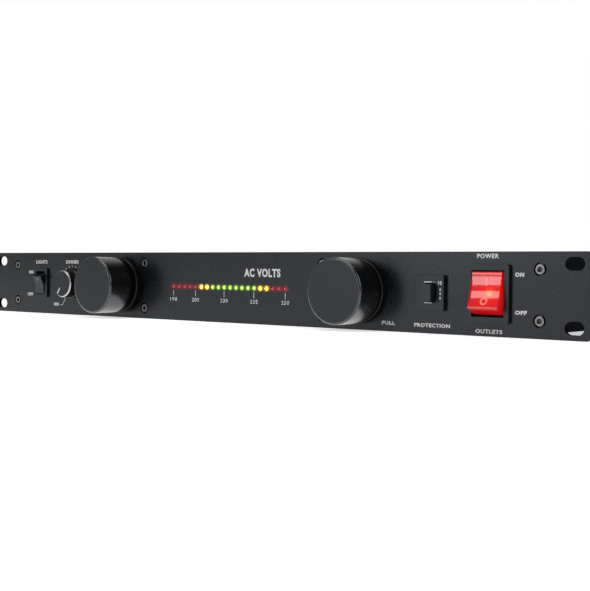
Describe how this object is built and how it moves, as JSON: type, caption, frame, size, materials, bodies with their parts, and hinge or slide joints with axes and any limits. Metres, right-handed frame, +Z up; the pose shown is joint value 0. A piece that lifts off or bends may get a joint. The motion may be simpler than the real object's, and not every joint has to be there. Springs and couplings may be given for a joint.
{
  "type": "rack voltmeter",
  "caption": "One-unit rack panel with a row of LEDs as mains voltmeter, pull-out lamps, dimmer, breaker and lit power rocker; outlets on the rear.",
  "frame": {"origin": "centre of the front panel's rear face, which bears on the rack rails", "axes": "+X to the right seen from the front, +Y to the rear, +Z up"},
  "size_m": [0.4826, 0.2303, 0.044],
  "materials": {
    "panel_paint": "satin black powder coat",
    "case_paint": "fine-textured black powder coat",
    "screw_steel": "bright zinc-plated",
    "black_screw": "black oxide",
    "knob_black": "satin moulded",
    "ring_black": "satin moulded",
    "tube_black": "satin black",
    "lens_frosted": "frosted",
    "strip_white": "white solder mask",
    "plug_black": "moulded",
    "collar_white": "self-lubricating moulding",
    "sleeve_white": "extruded",
    "zinc_sheet": "zinc-plated sheet",
    "switch_black": "semi-gloss moulded",
    "rocker_black": "satin moulded",
    "rocker_red": "clear red, lit from inside",
    "neon_glass": "lit",
    "dimmer_black": "satin moulded, fluted",
    "shaft_steel": "turned",
    "pot_body": "board and case",
    "nut_steel": "plated",
    "board_green": "solder mask",
    "chip_black": "moulded",
    "brass": "turned",
    "led_red": "clear red, dimly lit",
    "led_yellow": "clear yellow, lit",
    "led_green": "clear green, lit",
    "socket_black": "moulded",
    "pin_nickel": "nickel-plated",
    "lead_brown": "sleeved",
    "lead_blue": "sleeved",
    "lead_green": "sleeved",
    "core_steel": "laminated",
    "coil_tape": "taped winding"
  },
  "bodies": {
    "chassis": {"front_panel": "panel_paint", "panel_screws": "screw_steel", "chassis_tray": "case_paint", "rear_panel": "case_paint", "top_cover": "case_paint", "cover_screws": "black_screw", "left_trim_ring": "ring_black", "left_guide_sleeve": "sleeve_white", "left_lamp_bracket": "zinc_sheet", "right_trim_ring": "ring_black", "right_guide_sleeve": "sleeve_white", "right_lamp_bracket": "zinc_sheet", "lights_switch_frame": "switch_black", "dimmer_pot": "pot_body", "dimmer_nut": "nut_steel", "meter_board": "board_green", "meter_chips": "chip_black", "red_leds": "led_red", "yellow_leds": "led_yellow", "green_leds": "led_green", "breaker_frame": "switch_black", "power_switch_frame": "switch_black", "wire_terminals": "brass", "mains_inlet": "socket_black", "inlet_pins": "pin_nickel", "inlet_screws": "black_screw", "outlet_1": "socket_black", "outlet_2": "socket_black", "outlet_3": "socket_black", "outlet_4": "socket_black", "outlet_5": "socket_black", "outlet_6": "socket_black", "outlet_7": "socket_black", "outlet_8": "socket_black", "outlet_rails": "brass", "live_leads": "lead_brown", "neutral_leads": "lead_blue", "earth_leads": "lead_green", "supply_board": "board_green", "board_spacers": "brass", "transformer_core": "core_steel", "transformer_coil": "coil_tape"},
    "left_carriage": {"left_slide_collar": "collar_white"},
    "left_lamp": {"left_lamp_tube": "tube_black", "left_lamp_knob": "knob_black", "left_lamp_lens": "lens_frosted", "left_lamp_strip": "strip_white", "left_lamp_plug": "plug_black"},
    "right_carriage": {"right_slide_collar": "collar_white"},
    "right_lamp": {"right_lamp_tube": "tube_black", "right_lamp_knob": "knob_black", "right_lamp_lens": "lens_frosted", "right_lamp_strip": "strip_white", "right_lamp_plug": "plug_black"},
    "dimmer": {"dimmer_knob": "dimmer_black", "dimmer_shaft": "shaft_steel"},
    "lights_rocker": {"lights_rocker": "rocker_black"},
    "breaker_button": {"breaker_button": "rocker_black"},
    "power_rocker": {"power_rocker": "rocker_red", "power_neon_lamp": "neon_glass"}
  },
  "joints": [
    {"name": "left_lamp_slide", "type": "slide", "parent": "chassis", "child": "left_carriage", "axis": [0, -1, 0], "range_m": [-0.005, 0.0999]},
    {"name": "left_lamp_turn", "type": "hinge", "parent": "left_carriage", "child": "left_lamp", "pos_m": [-0.1003, 0.1, 0], "axis": [0, 1, 0], "range_deg": [-165, 165]},
    {"name": "right_lamp_slide", "type": "slide", "parent": "chassis", "child": "right_carriage", "axis": [0, -1, 0], "range_m": [-0.0025, 0.1024]},
    {"name": "right_lamp_turn", "type": "hinge", "parent": "right_carriage", "child": "right_lamp", "pos_m": [0.1003, 0.1, 0], "axis": [0, 1, 0], "range_deg": [-165, 165]},
    {"name": "dimmer_turn", "type": "hinge", "parent": "chassis", "child": "dimmer", "pos_m": [-0.1505, -0.005, 0], "axis": [0, 1, 0], "range_deg": [0, 290]},
    {"name": "lights_rock", "type": "hinge", "parent": "chassis", "child": "lights_rocker", "pos_m": [-0.185, -0.0002, 0.0002], "axis": [-1, 0, 0], "range_deg": [0, 30]},
    {"name": "breaker_push", "type": "slide", "parent": "chassis", "child": "breaker_button", "axis": [0, -1, 0], "range_m": [-0.001, 0.003]},
    {"name": "power_rock", "type": "hinge", "parent": "chassis", "child": "power_rocker", "pos_m": [0.1853, -0.0003, 0.0002], "axis": [1, 0, 0], "range_deg": [0, 29]}
  ]
}
